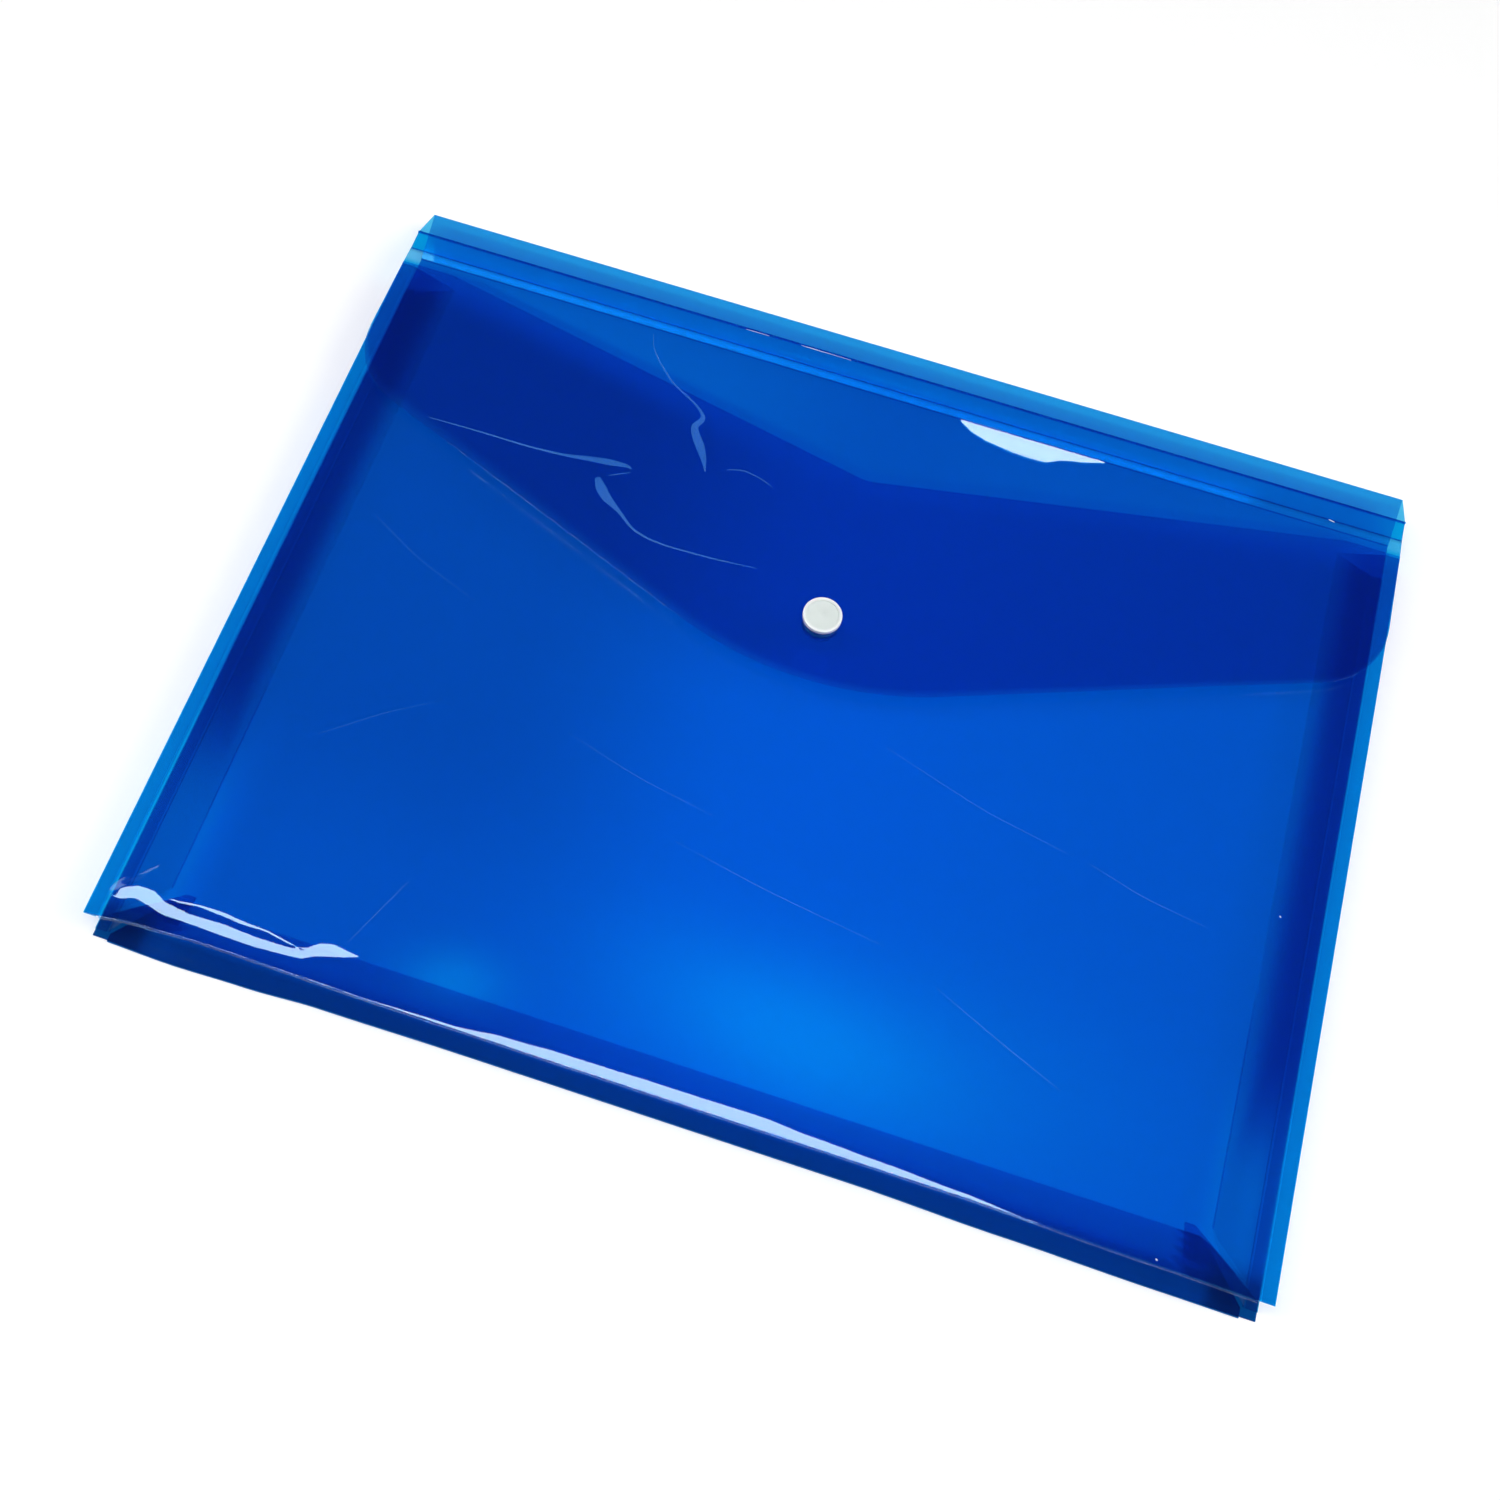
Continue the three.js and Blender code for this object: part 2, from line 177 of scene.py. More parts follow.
def eased(x, points):
    """A smooth line through points of (x, value)."""
    at, value = np.array(points, float).T
    place = np.interp(x, at, np.arange(len(at)))
    step = np.floor(place)
    return np.interp(step + ease(place - step), np.arange(len(at)), value)


def soft_spot(x, y, centre, radii, turn=0.0):
    """1 in the middle of a soft oval, 0 well outside it."""
    dx, dy = x - centre[0], y - centre[1]
    along = dx * math.cos(turn) + dy * math.sin(turn)
    across = dy * math.cos(turn) - dx * math.sin(turn)
    return np.exp(-(along / radii[0]) ** 2 - (across / radii[1]) ** 2)


# Meshes

def new_mesh(name, verts, faces, material, smooth_angle=35):
    mesh = bpy.data.meshes.new(name)
    mesh.from_pydata((np.array(verts) * MM).tolist(), [], faces)
    mesh.validate()
    mesh.shade_smooth()
    mesh.set_sharp_from_angle(angle=math.radians(smooth_angle))
    piece = bpy.data.objects.new(name, mesh)
    piece.data.materials.append(material)
    bpy.context.scene.collection.objects.link(piece)
    return piece


def sheet_mesh(name, middle, material, thickness=None):
    """A closed sheet round a grid of middle points, rows by columns by 3. Its front is on the side of
    columns x rows."""
    thickness = SHEET if thickness is None else thickness
    rows, columns = middle.shape[:2]
    down = np.gradient(middle, axis=0)
    across = np.gradient(middle, axis=1)
    normal = np.cross(across, down)
    normal /= np.linalg.norm(normal, axis=2, keepdims=True)
    front = (middle + normal * thickness / 2).reshape(-1, 3)
    back = (middle - normal * thickness / 2).reshape(-1, 3)
    count = rows * columns
    index = np.arange(count).reshape(rows, columns)
    a, b = index[:-1, :-1].ravel(), index[:-1, 1:].ravel()
    c, d = index[1:, 1:].ravel(), index[1:, :-1].ravel()
    faces = np.stack([a, b, c, d], 1).tolist() + (np.stack([d, c, b, a], 1) + count).tolist()
    rim = np.concatenate([index[0, :], index[1:, -1], index[-1, -2::-1], index[-2:0:-1, 0]])
    following = np.roll(rim, -1)
    faces += np.stack([following, rim, rim + count, following + count], 1).tolist()
    return new_mesh(name, np.concatenate([front, back]), faces, material)


def paint(piece, name, value):
    """Writes value(x, y), from 0 to 1, on the points of a piece for its material to read."""
    mesh = piece.data
    places = np.empty(len(mesh.vertices) * 3)
    mesh.vertices.foreach_get("co", places)
    x, y = places[0::3] / MM, places[1::3] / MM
    layer = mesh.attributes.new(name, "FLOAT", "POINT")
    layer.data.foreach_set("value", np.clip(value(x, y), 0, 1))
    return piece


def spaced(low, high, step, fine=()):
    """Numbers from low to high about step apart, closer in each fine stretch of (from, to, step)."""
    points = {low, high}
    for start, end, small in fine:
        start, end = max(low, start), min(high, end)
        if start >= end:
            continue
        points.update(np.linspace(start, end, max(2, int(round((end - start) / small)) + 1)))
    coarse = sorted(points)
    out = []
    for a, b in zip(coarse[:-1], coarse[1:]):
        out += list(np.linspace(a, b, max(1, int(round((b - a) / step))) + 1)[:-1])
    return np.array(out + [high])


def grid(xs, low, high, shares):
    """x and y of a grid whose columns run from low(x) to high(x)."""
    x, share = np.meshgrid(xs, shares)
    return x, low(x) + (high(x) - low(x)) * share


def level(value):
    return lambda x: np.full_like(x, value, dtype=float)


def strip_middle(places, xs, ends=None):
    """Middle points of a sheet swept along xs, whose section is a list of (distance into the fold, height).
    ends(x, distance) moves a point along the sweep, for mitred ends."""
    places = np.array(places, float)
    x, _ = np.meshgrid(xs, places[:, 0])
    into = np.repeat(places[:, :1], len(xs), axis=1)
    height = np.repeat(places[:, 1:], len(xs), axis=1)
    if ends is not None:
        x = ends(x, into)
    return np.stack([x, into, height], 2)


# Materials

SHEET_TINT = (0.03, 0.69, 0.935)  # light let through by each of a sheet's two faces
FLAP_TINT = (0.03, 0.61, 0.87)
GUSSET_TINT = (0.05, 0.65, 0.875)
FRONT_LIT = (0.03, 0.71, 1.0)  # painted glow: what passes where the front film is painted to glow
# painted glow: what passes where the back film is painted to glow
BACK_LIT = (0.03, 0.94, 1.0)
FILM_BODY = (0.0, 0.14, 0.75)
# painted glow: the colour that the film scatters where it is painted to glow
FILM_GLOW = (0.0, 0.23, 1.0)
MARK_TINT = (0.86, 0.96, 1.0)
MARK_BODY = (0.02, 0.30, 0.95)
# pale colour for specks and for the painted highlight dashes
SPECK_AND_GLINT_BODY = (0.8, 0.9, 1.0)
WELD_TINT = (0.18, 0.73, 0.90)
PAINTED_GLOW_SCATTER = 0.04  # how much more of the light the film scatters where it is painted to glow
DEEP_SHARE, DEEP_POWER = 0.62, 2.2  # what passes where it is deep: this share of its tint to this power
SHINE = 0.035  # the share that its surface mirrors, seen straight on
EDGE_SHINE = 0.9  # and seen along it
EDGE_POWER = 5.0
FLOOR_GLOW = 0.3
FLOOR_COLOUR = 0.82
FAR_FLOOR = (0.9, 3.5)  # metres from the middle between which the floor's own light grows
WALL_COLOUR = 0.6
WALL_GLOW = 0.9
WALL_MIRRORED = 0.12


def nodes_of(material):
    material.use_nodes = True
    tree = material.node_tree
    tree.nodes.clear()

    def add(kind, **values):
        made = tree.nodes.new(kind)
        for key, value in values.items():
            if key in made.inputs:
                made.inputs[key].default_value = value
            else:
                setattr(made, key, value)
        return made

    return tree, add, tree.links.new


def ranged(add, link, source, low, high, start=0.0, end=1.0):
    """A number that runs from low to high while source runs from start to end."""
    made = add("ShaderNodeMapRange")
    for key, value in (("From Min", start), ("From Max", end), ("To Min", low), ("To Max", high)):
        made.inputs[key].default_value = value
    link(source, made.inputs["Value"])
    return made.outputs["Result"]


def film(name, let_through, haze=0.03, roughness=0.035, body=FILM_BODY, clear=0.7, lit=FRONT_LIT):
    """Clear tinted film. Its pieces may carry "thin" and "deep", where it lets more or less light through,
    in places as painted sheen and painted shade, and a mask of painted glow, where it glows softly though
    no lamp is there."""
    material = bpy.data.materials.new(name)
    tree, add, link = nodes_of(material)
    place = add("ShaderNodeTexCoord").outputs["Object"]
    thin, deep, painted_glow = (add("ShaderNodeAttribute", attribute_name=name).outputs["Fac"]
                         for name in ("thin", "deep", "painted_glow"))
    # fine hairlines along the draw of the film, a slow change of gloss, and the grain of its surface
    stretched = add("ShaderNodeMapping")
    stretched.inputs["Scale"].default_value = (900, 45, 45)
    stretched.inputs["Rotation"].default_value = (0, 0, 0.5)
    link(place, stretched.inputs["Vector"])
    lines = add("ShaderNodeTexNoise", Scale=1.0, Detail=3.0, Roughness=0.6)
    link(stretched.outputs[0], lines.inputs["Vector"])
    cloud = add("ShaderNodeTexNoise", Scale=14.0, Detail=4.0, Roughness=0.55)
    link(place, cloud.inputs["Vector"])
    grain = add("ShaderNodeTexNoise", Scale=1600.0, Detail=2.0, Roughness=0.6)
    link(place, grain.inputs["Vector"])
    gloss = ranged(add, link, cloud.outputs["Fac"], roughness * 0.7, roughness * 1.6, 0.35, 0.7)
    scratch = add("ShaderNodeBump", Strength=0.02, Distance=0.0002)
    link(lines.outputs["Fac"], scratch.inputs["Height"])
    bump = add("ShaderNodeBump", Strength=0.05, Distance=0.00005)
    link(grain.outputs["Fac"], bump.inputs["Height"])
    link(scratch.outputs[0], bump.inputs["Normal"])
    # what passes
    lighter = add("ShaderNodeMix", data_type="RGBA")
    lighter.inputs["A"].default_value = (*let_through, 1)
    lighter.inputs["B"].default_value = (*lit, 1)
    link(painted_glow, lighter.inputs["Factor"])
    clearer = add("ShaderNodeMix", data_type="RGBA")
    link(lighter.outputs["Result"], clearer.inputs["A"])
    clearer.inputs["B"].default_value = (*[clear + (1 - clear) * c for c in let_through], 1)
    link(thin, clearer.inputs["Factor"])
    darker = add("ShaderNodeMix", data_type="RGBA")
    darker.inputs["B"].default_value = (*[DEEP_SHARE * c ** DEEP_POWER for c in let_through], 1)
    link(deep, darker.inputs["Factor"])
    link(clearer.outputs["Result"], darker.inputs["A"])
    passing = add("ShaderNodeBsdfTransparent")
    link(darker.outputs["Result"], passing.inputs["Color"])
    # what the film scatters
    glowing = add("ShaderNodeMix", data_type="RGBA")
    glowing.inputs["A"].default_value = (*body, 1)
    glowing.inputs["B"].default_value = (*FILM_GLOW, 1)
    link(painted_glow, glowing.inputs["Factor"])
    scatter = add("ShaderNodeBsdfPrincipled", Roughness=0.5)
    scatter.inputs["Specular IOR Level"].default_value = 0.0
    link(glowing.outputs["Result"], scatter.inputs["Base Color"])
    share = add("ShaderNodeMath", operation="MULTIPLY_ADD")
    share.inputs[1].default_value = PAINTED_GLOW_SCATTER
    link(painted_glow, share.inputs[0])
    link(ranged(add, link, cloud.outputs["Fac"], haze * 0.8, haze * 1.25, 0.3, 0.75), share.inputs[2])
    inside = add("ShaderNodeMixShader")
    link(share.outputs[0], inside.inputs[0])
    link(passing.outputs[0], inside.inputs[1])
    link(scatter.outputs[0], inside.inputs[2])
    # what its surface mirrors
    mirror = add("ShaderNodeBsdfAnisotropic")
    mirror.inputs["Color"].default_value = (1, 1, 1, 1)
    link(gloss, mirror.inputs["Roughness"])
    link(bump.outputs[0], mirror.inputs["Normal"])
    facing = add("ShaderNodeLayerWeight", Blend=0.5)
    edge = add("ShaderNodeMath", operation="POWER")
    edge.inputs[1].default_value = EDGE_POWER
    link(facing.outputs["Facing"], edge.inputs[0])
    surface = add("ShaderNodeMixShader")
    link(ranged(add, link, edge.outputs[0], SHINE, EDGE_SHINE), surface.inputs[0])
    link(inside.outputs[0], surface.inputs[1])
    link(mirror.outputs[0], surface.inputs[2])
    out = add("ShaderNodeOutputMaterial")
    link(surface.outputs[0], out.inputs["Surface"])
    return material


def moulded(name, colour, roughness, see_through=0.0, rim_highlight_colour=None):
    """Moulded plastic. Its pieces may carry a mask of painted highlight, where it takes the lighter
    highlight colour.
    """
    material = bpy.data.materials.new(name)
    tree, add, link = nodes_of(material)
    place = add("ShaderNodeTexCoord").outputs["Object"]
    grain = add("ShaderNodeTexNoise", Scale=900.0, Detail=3.0)
    link(place, grain.inputs["Vector"])
    stains = add("ShaderNodeTexNoise", Scale=160.0, Detail=2.0)
    link(place, stains.inputs["Vector"])
    plastic = add("ShaderNodeBsdfPrincipled")
    plastic.inputs["Alpha"].default_value = 1 - see_through
    tone = add("ShaderNodeMix", data_type="RGBA")
    tone.inputs["A"].default_value = (*[c * 0.93 for c in colour], 1)
    tone.inputs["B"].default_value = (*colour, 1)
    link(stains.outputs["Fac"], tone.inputs["Factor"])
    # painted highlight: the lighter colour where the mask is set
    bright = add("ShaderNodeMix", data_type="RGBA")
    bright.inputs["B"].default_value = (*(rim_highlight_colour or colour), 1)
    link(add("ShaderNodeAttribute", attribute_name="painted_rim_highlight").outputs["Fac"], bright.inputs["Factor"])
    link(tone.outputs["Result"], bright.inputs["A"])
    link(bright.outputs["Result"], plastic.inputs["Base Color"])
    gloss = add("ShaderNodeMapRange")
    for key, value in (("To Min", roughness * 0.75), ("To Max", roughness * 1.3)):
        gloss.inputs[key].default_value = value
    link(stains.outputs["Fac"], gloss.inputs["Value"])
    link(gloss.outputs[0], plastic.inputs["Roughness"])
    bump = add("ShaderNodeBump", Strength=0.08, Distance=0.00005)
    link(grain.outputs["Fac"], bump.inputs["Height"])
    link(bump.outputs[0], plastic.inputs["Normal"])
    out = add("ShaderNodeOutputMaterial")
    link(plastic.outputs[0], out.inputs["Surface"])
    return material


BLUE_FILM = film("blue_film", SHEET_TINT)
BACK_FILM = film("back_film", SHEET_TINT, lit=BACK_LIT)
FLAP_FILM = film("flap_film", FLAP_TINT)
GUSSET_FILM = film("gusset_film", GUSSET_TINT, clear=0.93)
MARK_FILM = film("fold_mark", MARK_TINT, haze=0.2, roughness=0.4, body=MARK_BODY)
# film for pale specks and for the painted highlight dashes
SPECK_AND_GLINT_FILM = film("speck_and_glint", MARK_TINT, haze=0.7, roughness=0.3, body=SPECK_AND_GLINT_BODY)
WELD_FILM = film("welded_film", WELD_TINT, haze=0.05, roughness=0.08)
# the cap's rim takes a lighter colour, a painted highlight
WHITE_PLASTIC = moulded("white_plastic", (0.76, 0.83, 0.81), 0.34, rim_highlight_colour=(0.96, 0.98, 1.0))
CLEAR_PLASTIC = moulded("clear_plastic", (0.62, 0.70, 0.74), 0.3, see_through=0.35)


def dress(piece, body, slot, *nodes, joined=None):
    """Puts a finished piece on its body, or bakes the placement of one across a joint, and hides the CAD
    nodes that it stands for.
    """
    if joined:
        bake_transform(piece)
    else:
        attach(piece, body)
    if nodes:
        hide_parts(*nodes)
    return piece


# Panels

# How far the two bottom edges stray from straight: x and millimetres
LOWER_BOW = ((-168, 1.6), (-143, 2.2), (-122, 1.8), (-100, 0.9), (-60, 0.6), (55, 0.6), (97, 1.4),
             (141, 2.0), (168, 2.2))
UPPER_BOW = ((-168, 0.1), (-150, 0.75), (-135, 1.0), (-80, 0.75), (-30, 0.7), (82, 0.7), (135, 0.25),
             (168, 0))
UPPER_BOW_IN, UPPER_BOW_UP = 2.2, 1.2  # millimetres for each millimetre of the upper edge's bow
BOW_REACH = 2.0  # a strayed fold starts to bend this far outside its crease
BOW_SQUASH = 0.25  # a strayed lower edge lies flatter, by this share of its height for each millimetre

# Where the front panel's lower margin is creased: x, lower y and upper y of slopes that face the front
CREASED = (
    ((-164, -125.2, -125.2), (-160, -125.8, -122.2), (-155.8, -124.2, -120.5), (-151, -125.2, -120.8),
     (-147, -126.3, -122.8), (-139, -126.4, -123.9), (-130, -126.7, -123.6), (-120, -126.9, -124.2),
     (-110, -126.3, -124.0), (-106, -125.9, -122.6), (-103, -124.2, -120.3), (-99, -122.9, -119.3),
     (-95, -121.8, -119.9), (-91, -120.3, -120.2)),
    ((-149, -121.6, -121.5), (-144, -122.0, -121.3), (-138, -121.3, -120.6), (-131, -121.7, -120.5),
     (-125, -122.2, -121.2), (-118, -122.0, -121.4), (-112, -123.1, -122.4), (-107, -123.5, -123.4)),
)
CREASE_SLOPE = 0.205
# How wide the rounded lower edge of the front panel faces the front: x and millimetres
ROLL_WIDTH = ((-112, 0), (-100, 0.25), (-88, 0.2), (-62, 0.7), (-46, 2.2), (-30, 2.9), (5, 3.3), (26, 3.5),
              (42, 2.6), (60, 2.0), (82, 1.1), (98, 0.2), (106, 0))
ROLL_SLOPE = 0.16
# Over how many millimetres a crease's gain in height sinks back: x and millimetres
RECOVERY = ((-168, 3), (-158, 4), (-150, 14), (-138, 34))
LOW_MARGIN, TOP_MARGIN, SIDE_MARGIN = 25, 35, 40  # where the panel's own unevenness dies out
PANEL_LIFT = 0.15
BOW_FADE = 75  # the lower edge's rise dies out this far up the panel
SIDE_EASE = 8  # and all lift within this distance of the side edges
CREASE_ZONE = (4.4, 14.5)  # distances from the lower edge between which the creases lie
RECOVERY_ZONE = 30


def bottom_shift(x, upper):
    """How far a bottom edge strays in y and in z."""
    if upper:
        bow = eased(x, UPPER_BOW)
        return bow * UPPER_BOW_IN, bow * UPPER_BOW_UP
    return -eased(x, LOWER_BOW), np.zeros_like(x)


def front_low_edge(x):
    return FRONT_LOW[1] + bottom_shift(x, True)[0]


def front_lift(x, y):
    edge = front_low_edge(x)
    into = y - edge
    margin = ease(into / LOW_MARGIN) * ease((front_top_edge(x) - y) / TOP_MARGIN)
    margin *= ease((HALF_WIDTH - np.abs(x)) / SIDE_MARGIN)
    lift = (PANEL_LIFT + waves(x, y, 3, 110, 0.06)) * margin
    lift += bottom_shift(x, True)[1] * (1 - ease(into / BOW_FADE))
    # every slope's gain sinks back over the recovery above it
    roll = eased(x, ROLL_WIDTH)
    lift += ROLL_SLOPE * (np.minimum(into, roll) - roll)
    for stretch in CREASED:
        at, low, high = np.array(stretch).T
        low, high = np.interp(x, at, low), np.interp(x, at, high)
        tall = np.where((x > at[0]) & (x < at[-1]), high - low, 0)
        gain = CREASE_SLOPE * np.clip(y - low, 0, tall)
        lift += gain * (1 - ease((y - high) / eased(x, RECOVERY)))
    return lift * ease((HALF_WIDTH + 0.5 - np.abs(x)) / SIDE_EASE)


def front_panel():
    xs = spaced(-HALF_WIDTH, HALF_WIDTH, 2.5, fine=[(-166, -89, 0.8), (-64, 60, 2)])
    height = FRONT_HIGH[1] - FRONT_LOW[1]
    start, end = (distance / height for distance in CREASE_ZONE)
    shares = spaced(0, 1, 0.012, fine=[(0, start, 0.25 / height), (start, end, 0.22 / height),
                                       (end, RECOVERY_ZONE / height, 1.2 / height)])
    x, y = grid(xs, front_low_edge, front_top_edge, shares)
    piece = sheet_mesh("front_sheet", np.stack([x, y, front_middle(x, y)], 2), BLUE_FILM)

    def thin(x, y):
        by_top_edge = 1 - ease((front_top_edge(x) - y) / 5)
        return 0.5 * ease((np.abs(x) - 70) / 60) * by_top_edge

    paint(piece, "thin", thin)
    # painted glow across the lower middle of the front sheet
    paint(piece, "painted_glow", lambda x, y: eased(x, ((-170, 0), (-60, 0.15), (10, 0.48), (90, 0.1), (170, 0))))
    return dress(piece, "front", "blue_film", "front_panel")


def soft_light(x, y):
    """Painted glow in the film: a wide soft light low down and a small one beside it."""
    wide = 0.8 * soft_spot(x, y, (24, -99), (46, 22), -0.1) + 0.3 * soft_spot(x, y, (75, -94), (60, 32))
    small = 0.9 * soft_spot(x, y, (-68, -115), (15, 10), 0.2)
    return 1.1 * (wide + small) * ease((y - FRONT_LOW[1] - 6) / 6)


def back_panel():
    xs = spaced(-HALF_WIDTH, HALF_WIDTH, 4)
    low = lambda x: BACK_LOW[1] + bottom_shift(x, False)[0]
    x, y = grid(xs, low, level(SPINE_LOWER[1]), spaced(0, 1, 0.012))
    middle = np.stack([x, y, np.full_like(x, SHEET / 2)], 2)
    # painted glow low down in the back sheet
    piece = paint(sheet_mesh("back_sheet", middle, BACK_FILM), "painted_glow", soft_light)

    def deep(x, y):
        slow = eased(x, ((-170, 0.24), (-90, 0.24), (-10, 0), (60, 0), (170, 0.06)))
        corners = 0.8 * ease((np.abs(x) - 150) / 8) * (1 - ease((y + 128) / 8))
        below = ease((-y - 40) / 60) * (0.5 + 0.5 * ease((np.abs(x) - 140) / 8))
        above = ease((y - front_top_edge(x) + 4) / 10)
        return np.maximum(slow * ((1 - below) * (1 - above)), corners)

    # lighter low down at the sides: painted sheen, as on the side leaves
    def thin(x, y):
        sides = ease((np.abs(x) - 147) / 4)
        return 0.3 * sides * (1 - ease((y + 92) / 30)) * ease((y + 127) / 4)

    paint(piece, "deep", deep)
    paint(piece, "thin", thin)
    return dress(piece, "back", "blue_film", "back_panel")


CAP_LIFT = FLAP_HIGH[2] - SHEET - (FLAP_CREASE[2] - SHEET - HALF_GAP)
FLAP_RISES = ((0, 0), (FLAP_SCORES[0], 0.45), (FLAP_SCORES[1], 0.90), (FLAP_LEVEL_FROM, CAP_LIFT),
              (FLAP_LENGTH + 1, CAP_LIFT))
# A dented patch below the first score, which faces further back: x and how far down it reaches
PATCH_REACH = ((21, 0), (26.5, 4.2), (32, 6.5), (40, 8.4), (48, 8.8), (54, 8.0), (56.6, 5.3), (60, 4.2),
               (65, 2.9), (69, 1.2), (73, 0))
PATCH_SLOPE = 0.12
PATCH_FADE = 45  # the dent dies out over this distance


def flap_height(x, fall):
    """Height of the flap's middle at a distance below its crease."""
    at, rise = np.array(FLAP_RISES).T
    score = FLAP_SCORES[0]
    reach = np.interp(x, *np.array(PATCH_REACH).T)
    dent = PATCH_SLOPE * np.clip(fall - score, 0, reach) * (1 - ease((fall - score - reach) / PATCH_FADE))
    quiet = ease((fall - 12) / 20)
    return np.interp(fall, at, rise) + dent + waves(x, fall, 8, 70, 0.07) * quiet


def flap_middle(x, y):
    return FLAP_CREASE[2] - HALF_GAP - SHEET / 2 + flap_height(x, FLAP_CREASE[1] - y)


def flap_panel():
    half = HALF_WIDTH - FLAP_INSET
    corner = half - FLAP_CORNER_RADIUS + FLAP_CORNER_RADIUS * np.sin(np.linspace(0, math.pi / 2, 18))
    between = spaced(-corner[0], corner[0], 2.5, fine=[(20, 74, 1)])
    xs = np.unique(np.round(np.concatenate([-corner, between, corner]), 5))
    shares = spaced(0, 1, 0.012, fine=[(0.86, 1, 0.005)])
    x, y = grid(xs, flap_low_edge, level(FLAP_CREASE[1] - FLAP_START), shares)
    piece = sheet_mesh("flap_sheet", np.stack([x, y, flap_middle(x, y)], 2), FLAP_FILM)

    def thin(x, y):
        reach = eased(x, ((-168, 5.0), (-40, 4.0), (20, 2.5), (168, 2.0)))
        most = eased(x, ((-170, 0.5), (-60, 0.36), (10, 0.12), (60, 0.15), (170, 0.3)))
        uncovered = most * ease((y - front_top_edge(np.clip(x, -140, 140)) - 1) / 3)
        return np.maximum(0.85 * (1 - ease((y - flap_low_edge(x)) / reach)), uncovered)

    paint(piece, "thin", thin)
    paint(piece, "deep", lambda x, y: 0.25 * ease((y - FLAP_CREASE[1] + 1.6) / 1.2))
    return dress(piece, "flap", "blue_film", "flap")


# Sharp fold marks in the flap: places along each, and its width there
MARKS = (
    ((-80.7, 105.4, 0.25), (-79, 100, 0.35), (-75.3, 95.2, 0.5), (-68.7, 88.5, 0.55), (-60.2, 83.9, 0.6),
     (-56.2, 80.5, 1.0), (-55.4, 78.3, 1.7), (-57.3, 74.8, 2.2), (-55.6, 71.5, 2.6), (-53.3, 68.3, 3.0),
     (-50.5, 63.5, 1.6), (-48.8, 59.3, 0.3)),
    ((-136.4, 48.9, 0.2), (-120, 49.3, 0.5), (-103, 49.2, 0.6), (-92, 50.0, 0.9), (-85, 51.3, 1.6),
     (-78, 52.4, 2.4), (-72.2, 53.0, 1.2), (-70.6, 52.2, 0.3)),
    ((-70.7, 51.0, 0.2), (-73.5, 49.3, 0.4), (-76.6, 47.6, 0.3)),
    ((-79.6, 45.6, 1.6), (-77.5, 42.5, 3.4), (-74.7, 39.5, 3.0), (-72, 37.8, 1.9), (-69.3, 36.1, 1.1),
     (-63.5, 31.4, 0.7), (-57.5, 29.8, 0.6), (-51.5, 29.3, 0.5), (-36.3, 29.8, 0.5), (-23.6, 31.0, 0.2)),
    ((-42.6, 62.4, 0.2), (-39.5, 63.6, 0.35), (-36.8, 64.0, 0.35), (-32, 63.1, 0.3), (-27.5, 61.2, 0.15)),
)
# A pale dot in the flap and two pale dashes along its crease, which are painted highlights; pale dots and
# scratches in the front panel
SPECKS_AND_GLINTS = (((143.4, 111.5, 0.2), (144.3, 111.3, 0.5), (145.4, 111.1, 0.2)),
          ((-53, 118.3, 0.1), (-50, 118.3, 0.25), (-45, 118.3, 0.1)),
          ((-34, 118.35, 0.1), (-30, 118.3, 0.3), (-24, 118.3, 0.15), (-17, 118.25, 0.1)))
FRONT_SPECKS = (((134.9, -130.4, 0.25), (135.2, -130.6, 0.45), (135.5, -130.7, 0.25)),
                ((150.5, -25.7, 0.15), (150.8, -25.9, 0.35), (151.1, -26.1, 0.15)))
SCRATCHES = (((-20, -60, 0.05), (10, -66, 0.16), (45, -71, 0.05)),
             ((62, -78, 0.05), (84, -88, 0.15), (101, -95, 0.05)),
             ((95, -28, 0.05), (112, -33, 0.15), (131, -36, 0.05)),
             ((-128, -62, 0.05), (-112, -49, 0.14), (-98, -40, 0.05)),
             ((-96, -118, 0.05), (-92, -108, 0.14), (-87, -96, 0.05)),
             ((-60, -38, 0.05), (-35, -45, 0.14), (-12, -49, 0.05)),
             ((30, -12, 0.05), (62, -22, 0.13), (88, -27, 0.05)),
             ((-140, 12, 0.05), (-122, 2, 0.13), (-101, -6, 0.05)))
MARK_HEIGHT = 0.03  # of its domed middle, for marks at least MARK_FULL wide
MARK_FULL = 0.5
MARK_CLEARANCE = 0.03  # from the sheet's surface to the mark's middle
MARK_THICKNESS = 0.02
MARK_SMOOTHING = 5  # times that the path is smoothed


def front_middle(x, y):
    return FRONT_MID_Z + front_lift(x, y)


def surface_marks(title, marks, surface, material, body):
    """Thin strips along the paths in marks, lying on the sheet whose middle is surface(x, y)."""
    for number, mark in enumerate(marks, 1):
        points = np.array(mark, float)
        at = np.arange(len(points))
        fine = np.linspace(0, len(points) - 1, len(points) * 8)
        smooth = [np.interp(fine, at, points[:, k]) for k in range(3)]
        for _ in range(MARK_SMOOTHING):
            smooth = [np.concatenate([v[:1], (v[:-2] + v[1:-1] + v[2:]) / 3, v[-1:]]) for v in smooth]
        x, y, width = smooth
        along = np.stack([np.gradient(x), np.gradient(y)])
        along /= np.linalg.norm(along, axis=0)
        sides = np.linspace(-0.5, 0.5, 5)[:, None]
        px = x - along[1] * width * sides
        py = y + along[0] * width * sides
        height = MARK_HEIGHT * (1 - (2 * sides) ** 2) * np.minimum(width / MARK_FULL, 1)
        middle = np.stack([px, py, surface(px, py) + SHEET / 2 + MARK_CLEARANCE + height], 2)
        piece = sheet_mesh(f"{title}_{number}", middle, material, thickness=MARK_THICKNESS)
        dress(piece, body, "blue_film")


